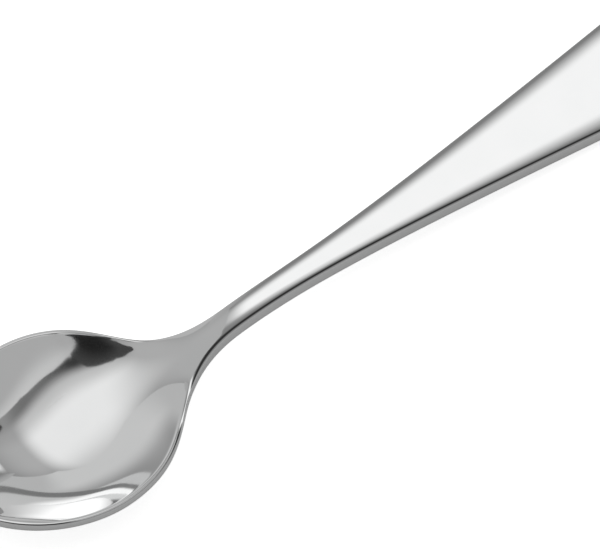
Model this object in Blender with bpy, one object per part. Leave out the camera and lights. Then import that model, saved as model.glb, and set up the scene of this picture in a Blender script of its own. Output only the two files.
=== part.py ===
# Coffee spoon pressed from one blank of stainless steel: bowl, neck and flared handle
import bpy
import bmesh
from mathutils import Vector

for old in list(bpy.data.objects):
    bpy.data.objects.remove(old, do_unlink=True)

# Sizes in millimetres. Lengths run from the tip of the bowl to the end of the handle
NOSE_LENGTH = 17.2       # tip to the widest point of the bowl
SHOULDER_LENGTH = 28.9   # widest point to the narrowest point of the neck
HANDLE_LENGTH = 79.5     # neck to the start of the rounded end
END_LENGTH = 8.0         # rounded end of the handle
BOWL_WIDTH = 30.75
NECK_WIDTH = 3.95
HANDLE_WIDTH = 18.1      # at the start of the rounded end
FLARE = 0.123            # how fast each handle edge moves out where the rounded end starts

# Heights of the upper edge above the table that the spoon lies on, before edges are rounded
TIP_HEIGHT = 7.5
SIDE_HEIGHT = 8.05       # top of the arched rim
SIDE_AT = 26.6           # distance of that top from the tip
NECK_HEIGHT = 5.03       # lowest point of the edge, where the shoulders meet the neck
NECK_AT = 37.4
CREST_HEIGHT = 5.83      # start of the straight handle
CREST_AT = 58.6
CREST_SLOPE = -0.043

# Walls
RIM_WALL = 1.75          # height of the wall along the bowl's rim
HANDLE_WALL = 2.0        # height of the wall along the handle
BOWL_FLOOR = 1.35        # thickness under the deepest point of the bowl
DEEPEST_AT = 14.3
TIP_SLOPE = -0.57        # fall of the inside just behind the tip
CROWN = 0.085            # rise of the handle's middle for each millimetre of half width
EDGE_ROUND = 0.45        # from each edge of the wall to where its rounding starts
SEAT_DEPTH = 0.34        # how much of the underside is flattened where the bowl rests

# Grid of the sheet that is shaped and given its thickness
ACROSS = 17
NOSE_STEPS, SHOULDER_STEPS, STEM_STEPS, END_STEPS = 8, 28, 40, 3
EDGE_STRIP = 0.65        # width of the outermost strip, which leaves room for the rounding
NOSE_CORNER, END_CORNER = 0.46, 0.35    # where the grid's corners lie on the two round ends
EASE = 26.0              # length over which the rounded rows straighten
EVEN_OUT = 14.0          # length at both ends over which the cells are evened out

WIDEST = NOSE_LENGTH
NECK = WIDEST + SHOULDER_LENGTH
END = NECK + HANDLE_LENGTH
LENGTH = END + END_LENGTH


def knot(x, height, slope=0.0, before=0.0, after=0.0):
    """A point of a curve, its tangent, and how far the curve follows that tangent on each side."""
    return Vector((x, height)), Vector((1.0, slope)), before, after


def segments(knots):
    """Cubic pieces through the knots, each as its four control points."""
    return [
        (p, p + d * after, q - e * before, q)
        for (p, d, _, after), (q, e, before, _) in zip(knots, knots[1:])
    ]


def point_at(piece, t):
    a, b, c, d = piece
    s = 1.0 - t
    return a * s**3 + b * (3 * s * s * t) + c * (3 * s * t * t) + d * t**3


def height_at(pieces, x):
    """Height of the curve at x, by halving the stretch that holds it."""
    piece = next((p for p in pieces if x <= p[3].x), pieces[-1])
    low, high = 0.0, 1.0
    for _ in range(44):
        middle = (low + high) / 2
        if point_at(piece, middle).x < x:
            low = middle
        else:
            high = middle
    return point_at(piece, (low + high) / 2).y


def smooth(t):
    t = min(1.0, max(0.0, t))
    return t * t * t * (t * (6 * t - 15) + 10)


# Plan: half of the outline, from the tip to the middle of the rounded end
tip = (Vector((0.0, 0.0)), Vector((0.0, 1.0)), 0.0, 8.3)
last = (Vector((LENGTH, 0.0)), Vector((0.0, -1.0)), 5.6, 0.0)
outline = segments([
    tip,
    knot(WIDEST, BOWL_WIDTH / 2, before=8.1, after=14.2),
    knot(NECK, NECK_WIDTH / 2, before=14.7, after=17.3),
    knot(END, HANDLE_WIDTH / 2, FLARE, before=52.0, after=4.0),
    last,
])
nose, shoulder, stem, rounded = outline

# Upper edge: the rim dips from the bowl's sides to the neck and runs on along the handle
edge = segments([
    knot(0.0, TIP_HEIGHT, after=6.4),
    knot(SIDE_AT, SIDE_HEIGHT, before=3.9, after=4.7),
    knot(NECK_AT, NECK_HEIGHT, before=4.3, after=5.5),
    knot(CREST_AT, CREST_HEIGHT, CREST_SLOPE, before=14.0, after=11.5),
    knot(LENGTH, HANDLE_WALL, -0.038, before=25.0),
])

# Middle of the bowl: down from the tip to the floor, then a long rise into the crowned neck
stem_slope = (height_at(edge, NECK + 0.5) - height_at(edge, NECK - 0.5))
hollow = segments([
    knot(0.0, TIP_HEIGHT, TIP_SLOPE, after=5.1),
    knot(DEEPEST_AT, BOWL_FLOOR, before=5.5, after=4.8),
    knot(NECK, height_at(edge, NECK) + CROWN * NECK_WIDTH / 2, stem_slope, before=24.0),
])
full_depth = height_at(edge, DEEPEST_AT) - BOWL_FLOOR


def half_width(x):
    return max(height_at(outline, min(max(x, 0.0), LENGTH)), 1e-6)


def middle_height(x):
    if x < NECK:
        return height_at(hollow, x)
    return height_at(edge, x) + CROWN * half_width(x)


def surfaces(x, y):
    """Heights of the upper and the lower face at a point of the plan."""
    share = min(1.0, (y / half_width(x)) ** 2)
    rim = height_at(edge, x)
    depth = rim - middle_height(x)
    handle = smooth((x - SIDE_AT) / (NECK - SIDE_AT))
    wall = RIM_WALL + (HANDLE_WALL - RIM_WALL) * handle
    thinner = (RIM_WALL - BOWL_FLOOR - SEAT_DEPTH) / full_depth
    below = depth * (1.0 - thinner) * (1.0 - handle)
    upper = rim - depth * (1.0 - share)
    lower = rim - wall - below * (1.0 - share)
    return upper, max(lower, 0.0)


# Stations along the side, and the two rounded rows that close the grid
def run(piece, start, stop, steps):
    return [point_at(piece, start + (stop - start) * i / steps) for i in range(1, steps + 1)]


side = [point_at(nose, NOSE_CORNER)]
side += run(nose, NOSE_CORNER, 1.0, NOSE_STEPS)
side += run(shoulder, 0.0, 1.0, SHOULDER_STEPS)
side += run(stem, 0.0, 1.0, STEM_STEPS)
side += run(rounded, 0.0, END_CORNER, END_STEPS)
along = len(side) - 1


def on_round(piece, start, stop, v):
    """Point of a rounded end, with v from -1 at one corner of the grid to 1 at the other."""
    p = point_at(piece, start + (stop - start) * abs(v))
    return Vector((p.x, p.y if v > 0 else -p.y))


def row_share(v, half):
    """Share of the half width at row v, with the outermost strip equally wide all along."""
    last = 1.0 - 2.0 / ACROSS
    if abs(v) > last + 1e-4:
        return v
    return v / last * (1.0 - EDGE_STRIP / half)


def plan_point(i, v):
    front = smooth(1.0 - (side[i].x - side[0].x) / EASE)
    back = smooth(1.0 - (side[-1].x - side[i].x) / EASE)
    v += (row_share(v, side[i].y) - v) * (1.0 - front) * (1.0 - back)
    p = Vector((side[i].x, side[i].y * v))
    p += (on_round(nose, 0.0, NOSE_CORNER, v) - Vector((side[0].x, side[0].y * v))) * front
    p += (on_round(rounded, 1.0, END_CORNER, v) - Vector((side[-1].x, side[-1].y * v))) * back
    return p


bm = bmesh.new()
bmesh.ops.create_grid(bm, x_segments=along, y_segments=ACROSS, size=1.0)
for vert in bm.verts:
    i = round((vert.co.x + 1.0) / 2.0 * along)
    vert.co = plan_point(i, vert.co.y).to_3d()

# Evening out leaves no sliver where a corner of the grid lies on a smooth outline
inner = [v for v in bm.verts if not v.is_boundary]
ends = [v for v in inner if not EVEN_OUT < v.co.x < LENGTH - EVEN_OUT]
for _ in range(30):
    bmesh.ops.smooth_vert(bm, verts=ends, factor=0.5, use_axis_x=True, use_axis_y=True)
for vert in bm.verts:
    vert.co.z = surfaces(vert.co.x, vert.co.y)[0]

# The sheet is drawn down into a solid, whose lower face has its own heights
made = bmesh.ops.extrude_face_region(bm, geom=bm.faces[:])["geom"]
lower_verts = {g for g in made if isinstance(g, bmesh.types.BMVert)}
for vert in lower_verts:
    vert.co.z = surfaces(vert.co.x, vert.co.y)[1]
bmesh.ops.recalc_face_normals(bm, faces=bm.faces[:])

# Both edges of the wall are rounded
wall_faces = {f for f in bm.faces if 0 < sum(v in lower_verts for v in f.verts) < len(f.verts)}
rims = [e for e in bm.edges if sum(f in wall_faces for f in e.link_faces) == 1]
bmesh.ops.bevel(
    bm, geom=rims, offset=EDGE_ROUND, offset_type="OFFSET", segments=3,
    profile=0.5, affect="EDGES", clamp_overlap=True, material=-1,
)

# The origin is the middle of the footprint, on the table
for vert in bm.verts:
    vert.co.x -= LENGTH / 2
bmesh.ops.scale(bm, vec=(0.001, 0.001, 0.001), verts=bm.verts[:])
mesh = bpy.data.meshes.new("coffee_spoon")
bm.to_mesh(mesh)
bm.free()
mesh.polygons.foreach_set("use_smooth", [True] * len(mesh.polygons))
spoon = bpy.data.objects.new("coffee_spoon", mesh)
bpy.context.scene.collection.objects.link(spoon)

steel = bpy.data.materials.new("polished_stainless_steel")
steel.use_nodes = True
shader = steel.node_tree.nodes["Principled BSDF"]
shader.inputs["Base Color"].default_value = (0.62, 0.62, 0.61, 1.0)
shader.inputs["Metallic"].default_value = 1.0
shader.inputs["Roughness"].default_value = 0.06
mesh.materials.append(steel)
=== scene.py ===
import math
import bpy
import bmesh
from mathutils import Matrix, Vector


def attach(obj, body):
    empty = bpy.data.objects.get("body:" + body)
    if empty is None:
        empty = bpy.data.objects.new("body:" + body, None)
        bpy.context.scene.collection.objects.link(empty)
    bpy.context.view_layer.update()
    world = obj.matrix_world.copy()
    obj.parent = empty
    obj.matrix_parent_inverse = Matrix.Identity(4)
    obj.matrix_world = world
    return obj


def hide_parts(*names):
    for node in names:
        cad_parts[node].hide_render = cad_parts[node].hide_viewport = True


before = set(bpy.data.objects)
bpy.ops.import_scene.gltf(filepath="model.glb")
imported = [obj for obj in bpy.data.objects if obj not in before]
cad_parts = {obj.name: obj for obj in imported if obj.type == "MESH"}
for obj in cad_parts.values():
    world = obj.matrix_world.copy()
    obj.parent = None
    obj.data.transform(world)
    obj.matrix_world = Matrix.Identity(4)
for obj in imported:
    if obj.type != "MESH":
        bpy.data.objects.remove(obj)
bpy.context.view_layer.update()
print("frame loaded:", sorted(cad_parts))

scene = bpy.context.scene
scene.view_settings.view_transform = "Standard"
mm = 0.001


def hexColour(text, alpha=1.0):  # sRGB hex to linear
    parts = [int(text[i:i + 2], 16) / 255 for i in (1, 3, 5)]
    linear = [c / 12.92 if c <= 0.04045 else ((c + 0.055) / 1.055) ** 2.4 for c in parts]
    return (*linear, alpha)


# links give a socket's name, or i and its number, and a value or another node's output
def addNode(tree, kind, settings=None, **links):
    node = tree.nodes.new(kind)
    for name, value in (settings or {}).items():
        setattr(node, name, value)
    for name, value in links.items():
        socket = node.inputs[int(name[1:]) if name[1:].isdigit() else name.replace("_", " ")]
        if isinstance(value, bpy.types.NodeSocket):
            tree.links.new(value, socket)
        else:
            socket.default_value = value
    return node


# camera: the picture is 600 x 549 and 80 mm wide at the aim point
view = {
    "aim": (-8.2, 0.0, 5.0), "azimuth": -41.15, "elevation": 50.0, "distance": 520.0,
    "widthAtAim": 80.0, "sensor": 36.0, "clipEnd": 20000.0,
}
aim = Vector(view["aim"]) * mm
around = math.radians(view["azimuth"])
up = math.radians(view["elevation"])
away = Vector((math.sin(around) * math.cos(up), -math.cos(around) * math.cos(up), math.sin(up)))
cameraData = bpy.data.cameras.new("camera")
cameraData.sensor_width = view["sensor"]
cameraData.lens = view["sensor"] * view["distance"] / view["widthAtAim"]
cameraData.clip_end = view["clipEnd"] * mm
camera = bpy.data.objects.new("camera", cameraData)
camera.location = aim + away * view["distance"] * mm
camera.rotation_euler = (-away).to_track_quat("-Z", "Y").to_euler()
scene.collection.objects.link(camera)
scene.camera = camera
print("camera set at", [round(c, 4) for c in camera.location])

# spoon: sizes in millimetres, lengths from the tip of the bowl to the end of the handle
spoonSize = {
    "noseLength": 17.2, "shoulderLength": 28.9, "handleLength": 79.5, "endLength": 8.0,
    "bowlWidth": 30.75, "neckWidth": 3.95, "handleWidth": 18.1, "flare": 0.123,
    # upper edge above the table
    "tipHeight": 7.5, "sideHeight": 8.05, "sideAt": 26.6, "neckHeight": 5.03, "neckAt": 37.4,
    "crestHeight": 5.83, "crestAt": 58.6, "crestSlope": -0.043, "endSlope": -0.038,
    # walls, hollow and the handle's crown
    "rimWall": 1.75, "handleWall": 2.0, "bowlFloor": 1.35, "deepestAt": 14.3, "tipSlope": -0.57,
    "crown": 0.085, "edgeRound": 0.36, "edgeSegments": 2,
    # land along the bowl's rim, and the strip inside it
    "landWidth": 0.65, "landStep": 0.4, "landRise": 0.1, "landFade": 9.0,
    # grid that is shaped into the spoon
    "across": 16, "noseSteps": 9, "shoulderSteps": 28, "stemSteps": 40, "endSteps": 4,
    "noseCorner": 0.46, "endCorner": 0.35, "ease": 26.0, "evenOut": 14.0, "evenPasses": 30, "finer": 2,
}
widest = spoonSize["noseLength"]
neck = widest + spoonSize["shoulderLength"]
handleEnd = neck + spoonSize["handleLength"]
spoonLength = handleEnd + spoonSize["endLength"]


def knot(x, height, slope=0.0, before=0.0, after=0.0):  # point, tangent and how far the curve follows it
    return Vector((x, height)), Vector((1.0, slope)), before, after


def curveThrough(knots):  # cubic pieces as four control points each
    return [(p, p + d * after, q - e * before, q)
            for (p, d, _, after), (q, e, before, _) in zip(knots, knots[1:])]


def pointOn(piece, t):
    a, b, c, d = piece
    s = 1.0 - t
    return a * s**3 + b * (3 * s * s * t) + c * (3 * s * t * t) + d * t**3


def heightOn(pieces, x):  # by halving the stretch that holds x
    piece = next((p for p in pieces if x <= p[3].x), pieces[-1])
    low, high = 0.0, 1.0
    for _ in range(40):
        middle = (low + high) / 2
        if pointOn(piece, middle).x < x:
            low = middle
        else:
            high = middle
    return pointOn(piece, (low + high) / 2).y


def smooth(t):
    t = min(1.0, max(0.0, t))
    return t * t * t * (t * (6 * t - 15) + 10)


# half of the outline in plan, which starts and ends square to the middle line
outline = curveThrough([
    (Vector((0.0, 0.0)), Vector((0.0, 1.0)), 0.0, 8.3),
    knot(widest, spoonSize["bowlWidth"] / 2, before=8.1, after=14.2),
    knot(neck, spoonSize["neckWidth"] / 2, before=14.7, after=17.3),
    knot(handleEnd, spoonSize["handleWidth"] / 2, spoonSize["flare"], before=52.0, after=4.0),
    (Vector((spoonLength, 0.0)), Vector((0.0, -1.0)), 5.6, 0.0),
])
nose, shoulder, stem, roundEnd = outline

# upper edge, seen from the side
edgeLine = curveThrough([
    knot(0.0, spoonSize["tipHeight"], after=6.4),
    knot(spoonSize["sideAt"], spoonSize["sideHeight"], before=3.9, after=4.7),
    knot(spoonSize["neckAt"], spoonSize["neckHeight"], before=4.3, after=5.5),
    knot(spoonSize["crestAt"], spoonSize["crestHeight"], spoonSize["crestSlope"], before=14.0, after=11.5),
    knot(spoonLength, spoonSize["handleWall"], spoonSize["endSlope"], before=25.0),
])

# middle of the bowl, seen from the side
neckSlope = heightOn(edgeLine, neck + 0.5) - heightOn(edgeLine, neck - 0.5)
neckMiddle = heightOn(edgeLine, neck) + spoonSize["crown"] * spoonSize["neckWidth"] / 2
hollowLine = curveThrough([
    knot(0.0, spoonSize["tipHeight"], spoonSize["tipSlope"], after=5.1),
    knot(spoonSize["deepestAt"], spoonSize["bowlFloor"], before=5.5, after=4.8),
    knot(neck, neckMiddle, neckSlope, before=24.0),
])
fullDepth = heightOn(edgeLine, spoonSize["deepestAt"]) - spoonSize["bowlFloor"]


def halfWidth(x):
    return max(heightOn(outline, min(max(x, 0.0), spoonLength)), 1e-6)


def faceHeights(x, y):  # upper and lower face
    half = halfWidth(x)
    bend = 1.0 - min(1.0, (y / half) ** 2)
    rim = heightOn(edgeLine, x)
    middle = heightOn(hollowLine, x) if x < neck else rim + spoonSize["crown"] * half
    depth = rim - middle
    handle = smooth((x - spoonSize["sideAt"]) / (neck - spoonSize["sideAt"]))
    wall = spoonSize["rimWall"] + (spoonSize["handleWall"] - spoonSize["rimWall"]) * handle
    thinner = (spoonSize["rimWall"] - spoonSize["bowlFloor"]) / fullDepth
    below = depth * (1.0 - thinner) * (1.0 - handle)
    return rim - depth * bend, max(rim - wall - below * bend, 0.0)


def stations(piece, start, stop, steps):
    return [pointOn(piece, start + (stop - start) * i / steps) for i in range(1, steps + 1)]


side = [pointOn(nose, spoonSize["noseCorner"])]
side += stations(nose, spoonSize["noseCorner"], 1.0, spoonSize["noseSteps"])
side += stations(shoulder, 0.0, 1.0, spoonSize["shoulderSteps"])
side += stations(stem, 0.0, 1.0, spoonSize["stemSteps"])
side += stations(roundEnd, 0.0, spoonSize["endCorner"], spoonSize["endSteps"])
along = len(side) - 1
lastRow = spoonSize["across"]
landMargins = (0.0, spoonSize["landWidth"], spoonSize["landWidth"] + spoonSize["landStep"])


def onRound(piece, start, stop, v):  # point of a rounded end, v from -1 to 1 between the grid's corners
    p = pointOn(piece, start + (stop - start) * abs(v))
    return Vector((p.x, p.y if v > 0 else -p.y))


def planPoint(i, v):  # the two outermost strips are equally wide along the straight part
    here, first, last = side[i], side[0], side[-1]
    front = smooth(1.0 - (here.x - first.x) / spoonSize["ease"])
    back = smooth(1.0 - (last.x - here.x) / spoonSize["ease"])
    ring = round((1.0 - abs(v)) * lastRow / 2)
    share = math.copysign(1.0, v) if ring < 2 else v / (1.0 - 4.0 / lastRow)
    even = share * (1.0 - landMargins[min(ring, 2)] / here.y)
    v += (even - v) * (1.0 - front) * (1.0 - back)
    p = Vector((here.x, here.y * v))
    p += (onRound(nose, 0.0, spoonSize["noseCorner"], v) - Vector((first.x, first.y * v))) * front
    p += (onRound(roundEnd, 1.0, spoonSize["endCorner"], v) - Vector((last.x, last.y * v))) * back
    return p


bm = bmesh.new()
bmesh.ops.create_grid(bm, x_segments=along, y_segments=lastRow, size=1.0)
grid = {}
for vert in bm.verts:
    i = round((vert.co.x + 1.0) / 2.0 * along)
    j = round((vert.co.y + 1.0) / 2.0 * lastRow)
    grid[i, j] = vert
    vert.co = planPoint(i, vert.co.y).to_3d()
endVerts = [v for v in bm.verts if not v.is_boundary
            and not spoonSize["evenOut"] < v.co.x < spoonLength - spoonSize["evenOut"]]
for _ in range(spoonSize["evenPasses"]):  # no slivers where a grid corner lies on the round outline
    bmesh.ops.smooth_vert(bm, verts=endVerts, factor=0.5, use_axis_x=True, use_axis_y=True)

# land along the bowl's rim: two rows of the grid follow the outline at equal distances
rimLoop = [(i, 0) for i in range(along, -1, -1)]
rimLoop += [(0, j) for j in range(1, lastRow)]
rimLoop += [(i, lastRow) for i in range(along + 1)]
landRow = []
for before, (i, j), after in zip(rimLoop, rimLoop[1:], rimLoop[2:]):
    edgePoint = grid[i, j].co.copy()
    fade = smooth((spoonSize["neckAt"] - edgePoint.x) / spoonSize["landFade"])
    if not fade:
        continue
    run = (grid[after].co - grid[before].co).normalized()
    inward = Vector((run.y, -run.x, 0.0))
    for ring in (1, 2):
        vert = grid[max(i, ring), min(max(j, ring), lastRow - ring)]
        if i >= ring or ring < j < lastRow - ring:
            vert.co = vert.co.lerp(edgePoint + inward * landMargins[ring], fade)
    landRow.append((grid[i, j], grid[max(i, 1), min(max(j, 1), lastRow - 1)], fade))
for vert in bm.verts:
    vert.co.z = faceHeights(vert.co.x, vert.co.y)[0]
for outer, inner, fade in landRow:
    outer.co.z += (inner.co.z + spoonSize["landRise"] - outer.co.z) * fade

# the sheet is drawn down into a solid and both edges of its wall are rounded
drawn = bmesh.ops.extrude_face_region(bm, geom=bm.faces[:])["geom"]
lowerVerts = {g for g in drawn if isinstance(g, bmesh.types.BMVert)}
for vert in lowerVerts:
    vert.co.z = faceHeights(vert.co.x, vert.co.y)[1]
bmesh.ops.recalc_face_normals(bm, faces=bm.faces[:])
wallFaces = {f for f in bm.faces if 0 < sum(v in lowerVerts for v in f.verts) < len(f.verts)}
rimEdges = [e for e in bm.edges if sum(f in wallFaces for f in e.link_faces) == 1]
bmesh.ops.bevel(bm, geom=rimEdges, offset=spoonSize["edgeRound"], offset_type="OFFSET",
                segments=spoonSize["edgeSegments"], profile=0.5, affect="EDGES", clamp_overlap=True,
                material=-1)
bmesh.ops.translate(bm, vec=(-spoonLength / 2, 0.0, 0.0), verts=bm.verts[:])
bmesh.ops.scale(bm, vec=(mm, mm, mm), verts=bm.verts[:])
spoonMesh = bpy.data.meshes.new("polishedSpoon")
bm.to_mesh(spoonMesh)
bm.free()
spoonMesh.polygons.foreach_set("use_smooth", [True] * len(spoonMesh.polygons))
spoon = bpy.data.objects.new("polishedSpoon", spoonMesh)
scene.collection.objects.link(spoon)
finer = spoon.modifiers.new("finer", "SUBSURF")
finer.levels = spoonSize["finer"]
finer.render_levels = spoonSize["finer"]
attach(spoon, "root")
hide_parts("coffee_spoon")
print("spoon modelled:", len(spoonMesh.polygons), "cage faces")

# mirror-polished stainless steel: a cool grey metal whose look is all reflection, with a trace of buffing
# haze and hair-fine polishing lines along the spoon, which keep the mirror from looking like glass
steelLook = {
    "clear": "#D0D0D0", "hazed": "#CBCCCC", "clearRoughness": 0.045, "hazedRoughness": 0.06,
    "hazeSize": 5.0, "hazeDetail": 3.0, "hazeFrom": 0.3, "hazeTo": 0.7,
    "lineLength": 14.0, "lineWidth": 0.25, "lineDepth": 0.0004, "lineDetail": 2.0,
}
steel = bpy.data.materials.new("mirrorPolishedStainlessSteel")
steel.use_nodes = True
steelTree = steel.node_tree
steelShader = steelTree.nodes["Principled BSDF"]
steelShader.inputs["Metallic"].default_value = 1.0
where = addNode(steelTree, "ShaderNodeVectorMath", {"operation": "SCALE"},
                i0=addNode(steelTree, "ShaderNodeTexCoord").outputs["Object"], Scale=1 / mm)
haze = addNode(steelTree, "ShaderNodeTexNoise", Vector=where.outputs[0],
               Scale=1 / steelLook["hazeSize"], Detail=steelLook["hazeDetail"])
tone = addNode(steelTree, "ShaderNodeMix", {"data_type": "RGBA"}, Factor=haze.outputs[0],
               i6=hexColour(steelLook["clear"]), i7=hexColour(steelLook["hazed"]))
steelTree.links.new(tone.outputs[2], steelShader.inputs["Base Color"])
gloss = addNode(steelTree, "ShaderNodeMapRange", Value=haze.outputs[0],
                From_Min=steelLook["hazeFrom"], From_Max=steelLook["hazeTo"],
                To_Min=steelLook["clearRoughness"], To_Max=steelLook["hazedRoughness"])
steelTree.links.new(gloss.outputs["Result"], steelShader.inputs["Roughness"])
lineScale = (1 / steelLook["lineLength"], 1 / steelLook["lineWidth"], 1 / steelLook["lineWidth"])
lengthwise = addNode(steelTree, "ShaderNodeVectorMath", {"operation": "MULTIPLY"},
                     i0=where.outputs[0], i1=lineScale)
lines = addNode(steelTree, "ShaderNodeTexNoise", Vector=lengthwise.outputs[0],
                Scale=1.0, Detail=steelLook["lineDetail"])
grain = addNode(steelTree, "ShaderNodeBump", Strength=1.0,
                Distance=steelLook["lineDepth"] * mm, Height=lines.outputs[0])
steelTree.links.new(grain.outputs[0], steelShader.inputs["Normal"])
spoonMesh.materials.append(steel)
print("steel finished")

# floor: pale paper, seen by the camera as white with the spoon's faint shadow
floorLook = {"size": 1500.0, "paper": "#E6E6E6", "roughness": 0.9, "whiteToCamera": 0.8, "whiteToSteel": 0.1}
floorMesh = bpy.data.meshes.new("floor")
bm = bmesh.new()
bmesh.ops.create_grid(bm, x_segments=1, y_segments=1, size=floorLook["size"] * mm)
bm.to_mesh(floorMesh)
bm.free()
floor = bpy.data.objects.new("floor", floorMesh)
scene.collection.objects.link(floor)
paper = bpy.data.materials.new("whitePaper")
paper.use_nodes = True
paperTree = paper.node_tree
paperShader = paperTree.nodes["Principled BSDF"]
paperShader.inputs["Base Color"].default_value = hexColour(floorLook["paper"])
paperShader.inputs["Roughness"].default_value = floorLook["roughness"]
paperShader.inputs["Specular IOR Level"].default_value = 0.0
paperShader.inputs["Emission Color"].default_value = hexColour("#FFFFFF")
seen = addNode(paperTree, "ShaderNodeLightPath")
mirrored = addNode(paperTree, "ShaderNodeMath", {"operation": "MULTIPLY"},
                   i0=seen.outputs["Is Glossy Ray"], i1=floorLook["whiteToSteel"])
white = addNode(paperTree, "ShaderNodeMath", {"operation": "MULTIPLY_ADD"},
                i0=seen.outputs["Is Camera Ray"], i1=floorLook["whiteToCamera"], i2=mirrored.outputs[0])
paperTree.links.new(white.outputs[0], paperShader.inputs["Emission Strength"])
floorMesh.materials.append(paper)
print("floor laid")

# room: a mid grey studio, dark high up behind the camera, white where the camera sees it
room = {
    "level": 0.45, "dark": 0.03, "ahead": (0.25, 0.97, 0.0),
    "behindFrom": -0.05, "behindTo": -0.45, "highFrom": 0.36, "highTo": 0.55,
}
world = bpy.data.worlds.new("studio")
scene.world = world
world.use_nodes = True
worldTree = world.node_tree
direction = addNode(worldTree, "ShaderNodeTexCoord").outputs["Generated"]
facing = addNode(worldTree, "ShaderNodeVectorMath", {"operation": "DOT_PRODUCT"},
                 i0=direction, i1=room["ahead"])
behind = addNode(worldTree, "ShaderNodeMapRange", {"interpolation_type": "SMOOTHSTEP"},
                 Value=facing.outputs["Value"],
                 From_Min=room["behindFrom"], From_Max=room["behindTo"], To_Min=0.0, To_Max=1.0)
high = addNode(worldTree, "ShaderNodeMapRange", {"interpolation_type": "SMOOTHSTEP"},
               Value=addNode(worldTree, "ShaderNodeSeparateXYZ", Vector=direction).outputs["Z"],
               From_Min=room["highFrom"], From_Max=room["highTo"], To_Min=0.0, To_Max=1.0)
gloom = addNode(worldTree, "ShaderNodeMath", {"operation": "MULTIPLY"},
                i0=behind.outputs["Result"], i1=high.outputs["Result"])
level = addNode(worldTree, "ShaderNodeMix", Factor=gloom.outputs[0], A=room["level"], B=room["dark"])
shown = addNode(worldTree, "ShaderNodeMix", A=level.outputs[0], B=1.0,
                Factor=addNode(worldTree, "ShaderNodeLightPath").outputs["Is Camera Ray"])
background = worldTree.nodes["Background"]
background.inputs["Color"].default_value = hexColour("#FFFFFF")
worldTree.links.new(shown.outputs[0], background.inputs["Strength"])

# softbox overhead that lights the paper; the steel mirrors the cards instead
softbox = {"width": 1200.0, "height": 900.0, "watts": 2.4}
lampData = bpy.data.lights.new("softbox", "AREA")
lampData.size = softbox["width"] * mm
lampData.energy = softbox["watts"]
lamp = bpy.data.objects.new("softbox", lampData)
lamp.location = (0.0, 0.0, softbox["height"] * mm)
lamp.visible_glossy = False
lamp.visible_camera = False
scene.collection.objects.link(lamp)
print("room lit")


def softLevel(tree, place, steps):  # light across a card, built up from soft changes
    total = 0.0
    for join, direction, start, stop, low, high in steps:
        reach = addNode(tree, "ShaderNodeVectorMath", {"operation": "DOT_PRODUCT"}, i0=place, i1=direction)
        change = addNode(tree, "ShaderNodeMapRange", {"interpolation_type": "SMOOTHSTEP"},
                         Value=reach.outputs["Value"],
                         From_Min=start, From_Max=stop, To_Min=low, To_Max=high)
        total = addNode(tree, "ShaderNodeMath", {"operation": join},
                        i0=total, i1=change.outputs["Result"]).outputs[0]
    return total


def addCard(name, look):  # a studio card that only the steel sees
    if "height" in look:
        corners = [(x, y, look["height"]) for x, y in look["outline"]]
    else:
        corners = [(x, look["away"] + look.get("slant", 0.0) * x, z) for x, z in look["outline"]]
    bm = bmesh.new()
    bm.faces.new([bm.verts.new(Vector(corner) * mm) for corner in corners])
    bmesh.ops.triangulate(bm, faces=bm.faces[:])
    mesh = bpy.data.meshes.new(name)
    bm.to_mesh(mesh)
    bm.free()
    card = bpy.data.objects.new(name, mesh)
    scene.collection.objects.link(card)
    card.visible_camera = False
    card.visible_diffuse = False
    card.visible_shadow = False
    card.visible_transmission = False
    glow = bpy.data.materials.new(name + "Glow")
    glow.use_nodes = True
    glow.cycles.emission_sampling = "NONE"
    mesh.materials.append(glow)
    tree = glow.node_tree
    tree.nodes.remove(tree.nodes["Principled BSDF"])
    place = addNode(tree, "ShaderNodeVectorMath", {"operation": "SCALE"},
                    i0=addNode(tree, "ShaderNodeTexCoord").outputs["Object"], Scale=1 / mm).outputs[0]
    light = softLevel(tree, place, look["steps"])
    if "shade" in look:  # the light rises out of a shaded part
        light = addNode(tree, "ShaderNodeMix", Factor=softLevel(tree, place, look["rise"]),
                        A=softLevel(tree, place, look["shade"]), B=light).outputs[0]
    surface = addNode(tree, "ShaderNodeEmission", Strength=light)
    if look.get("oneSided"):  # clear from behind
        surface = addNode(tree, "ShaderNodeMixShader", i1=surface.outputs[0],
                          i0=addNode(tree, "ShaderNodeNewGeometry").outputs["Backfacing"],
                          i2=addNode(tree, "ShaderNodeBsdfTransparent").outputs[0])
    tree.links.new(surface.outputs[0], tree.nodes["Material Output"].inputs["Surface"])


# cards: corners in millimetres, and steps that each say how a soft change joins the light, its direction,
# where it starts and stops, and its level before and after

# long low card over the handle, with a far side that runs along the handle's flare
farAt = 30.0
farSlope = 0.225
handleCard = {
    "height": 36.0,
    "outline": [(-43.0, -60.0), (150.0, -60.0),
                (150.0, farAt + 150.0 * farSlope), (-6.0, farAt - 6.0 * farSlope)],
    "steps": [
        ("ADD", (0.09, 1, 0), 7.5, 14.5, 0.0, 1.12),  # white on the far half
        ("MULTIPLY", (-farSlope, 1, 0), farAt - 10.0, farAt + 1.0, 1.0, 0.0),  # fading at the far side
        ("MULTIPLY", (1, -0.4, 0), -19.0, -11.0, 0.32, 1.0),  # and over the neck
        ("ADD", (0.09, 1, 0), -2.0, 8.0, 0.04, 0.34),  # dim in the middle
        ("ADD", (0.09, 1, 0), -32.0, -16.0, 0.3, 0.0),  # a little light on the near side
    ],
}
addCard("handleCard", handleCard)

# dark card that hangs from the handle card's far side, paler at the bowl
edgeCard = {
    "away": farAt, "slant": farSlope,
    "outline": [(-12.0, 5.0), (150.0, 5.0),
                (150.0, handleCard["height"] + 0.5), (-12.0, handleCard["height"] + 0.5)],
    "steps": [("ADD", (1, 0, 0), -12.0, 6.0, 0.6, 0.33)],
}
addCard("edgeCard", edgeCard)

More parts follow.
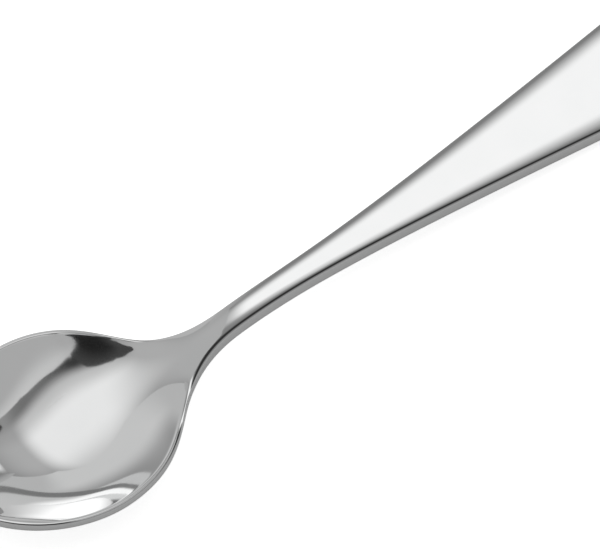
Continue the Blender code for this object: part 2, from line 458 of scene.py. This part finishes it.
# broad card over the bowl, brightest over the tip's side and dark along its near edge
bowlCard = {
    "height": 150.0,
    "outline": [(-160.0, -60.0), (460.0, -60.0), (460.0, 700.0), (-160.0, 700.0)],
    "steps": [
        ("ADD", (1, 0, 0), -35.0, 10.0, 1.27, 0.64),
        ("ADD", (1, 0, 0), 20.0, 210.0, 0.0, -0.22),
        ("MULTIPLY", (0, 1, 0), 80.0, 200.0, 1.0, 0.7),
        ("MULTIPLY", (0, 1, 0), 180.0, 500.0, 1.0, 0.43),
    ],
    "shade": [
        ("ADD", (1, 0, 0), -58.0, -45.0, 0.05, 0.25),
        ("ADD", (1, 0, 0), -40.0, 20.0, 0.0, 0.16),
    ],
    "rise": [
        ("ADD", (0, 1, 0), -24.0, -4.0, 0.0, 0.55),
        ("ADD", (0, 1, 0), -8.0, 30.0, 0.0, 0.45),
    ],
}
addCard("bowlCard", bowlCard)

# grey card with a sharp edge, which crosses the bowl's far left
greyCard = {
    "height": 149.0,
    "outline": [
        (200.0, -36.0), (12.0, -36.0), (-36.0, -33.0), (-47.0, -28.0), (-51.0, -27.0), (-56.0, -31.5),
        (-64.5, -41.0), (-72.0, -53.0), (-78.0, -60.0), (-90.0, -68.0), (-120.0, -200.0), (200.0, -200.0),
    ],
    "steps": [("ADD", (0, 1, 0), -60.0, -32.0, 0.62, 0.86)],
}
addCard("greyCard", greyCard)

# small black flag near the bowl for the dark wedge under its far rim
flag = {
    "height": 22.0,
    "outline": [
        (-25.7, 6.2), (-27.3, 4.2), (-29.3, 3.1), (-30.0, 2.4), (-32.3, 1.75), (-34.5, 1.45), (-39.7, 1.45),
        (-42.3, 2.9), (-42.85, 3.4), (-40.5, 4.0), (-36.75, 3.65), (-33.4, 3.75), (-29.0, 5.1), (-27.0, 6.1),
    ],
    "steps": [("ADD", (0, 1, 0), 1.8, 3.8, 0.02, 0.08)],
}
addCard("flag", flag)

# upright screen behind the bowl, whose top edge is the line across the bowl's near side
screen = {
    "away": 40.0,
    "outline": [(-46.0, 0.0), (20.0, 0.0), (20.0, 45.0), (-36.0, 45.0), (-40.0, 40.0), (-46.0, 33.0)],
    "steps": [
        ("ADD", (0, 0, 1), 8.0, 24.0, 0.4, 0.87),  # pale band over a darker foot
        ("MULTIPLY", (1, 0, 0), -36.0, -20.0, 1.0, 0.0),  # which gives way to an even grey
        ("ADD", (1, 0, 0), -36.0, -20.0, 0.0, 0.7),
    ],
}
addCard("screen", screen)

# painted reflection: two small sheets set inside the bowl that glow on one side only, whose light the near
# wall throws back as painted bright patches and a dark line
innerPaintedReflection = {
    "away": 5.7, "oneSided": True,
    "outline": [
        (-51.5, 1.0), (-39.0, 1.0), (-39.0, 5.9), (-43.0, 5.6), (-45.0, 5.9), (-46.5, 6.1),
        (-48.5, 5.9), (-50.0, 5.6), (-51.5, 5.5),
    ],
    "steps": [
        ("ADD", (1, 0, -1.2), -52.8, -51.0, 0.78, 1.5),
        ("MULTIPLY", (0, 0, 1), 4.75, 5.05, 1.0, 0.0),  # painted dark line along the top, mirrored by the near wall
        ("ADD", (0, 0, 1), 4.75, 5.05, 0.0, 0.28),
    ],
}
addCard("innerPaintedReflection", innerPaintedReflection)

# painted reflection: a sheet glowing 3 mm up in the bowl's hollow, clear from behind, mirrored by the near
# wall
hollowPaintedReflection = {
    "height": 3.0, "oneSided": True,
    "outline": [
        (-60.0, 0.0), (-58.5, -4.0), (-55.0, -6.5), (-51.0, -7.4), (-46.0, -7.0), (-43.0, -5.0),
        (-38.0, 0.0), (-38.0, innerPaintedReflection["away"]), (-57.0, innerPaintedReflection["away"]),
    ],
    "steps": [
        ("ADD", (1, -1, 0), -58.0, -48.0, 0.72, 1.6),
        ("MULTIPLY", (1, -0.3, 0), -47.5, -44.5, 1.0, 0.55),
    ],
}
addCard("hollowPaintedReflection", hollowPaintedReflection)
print("cards set")
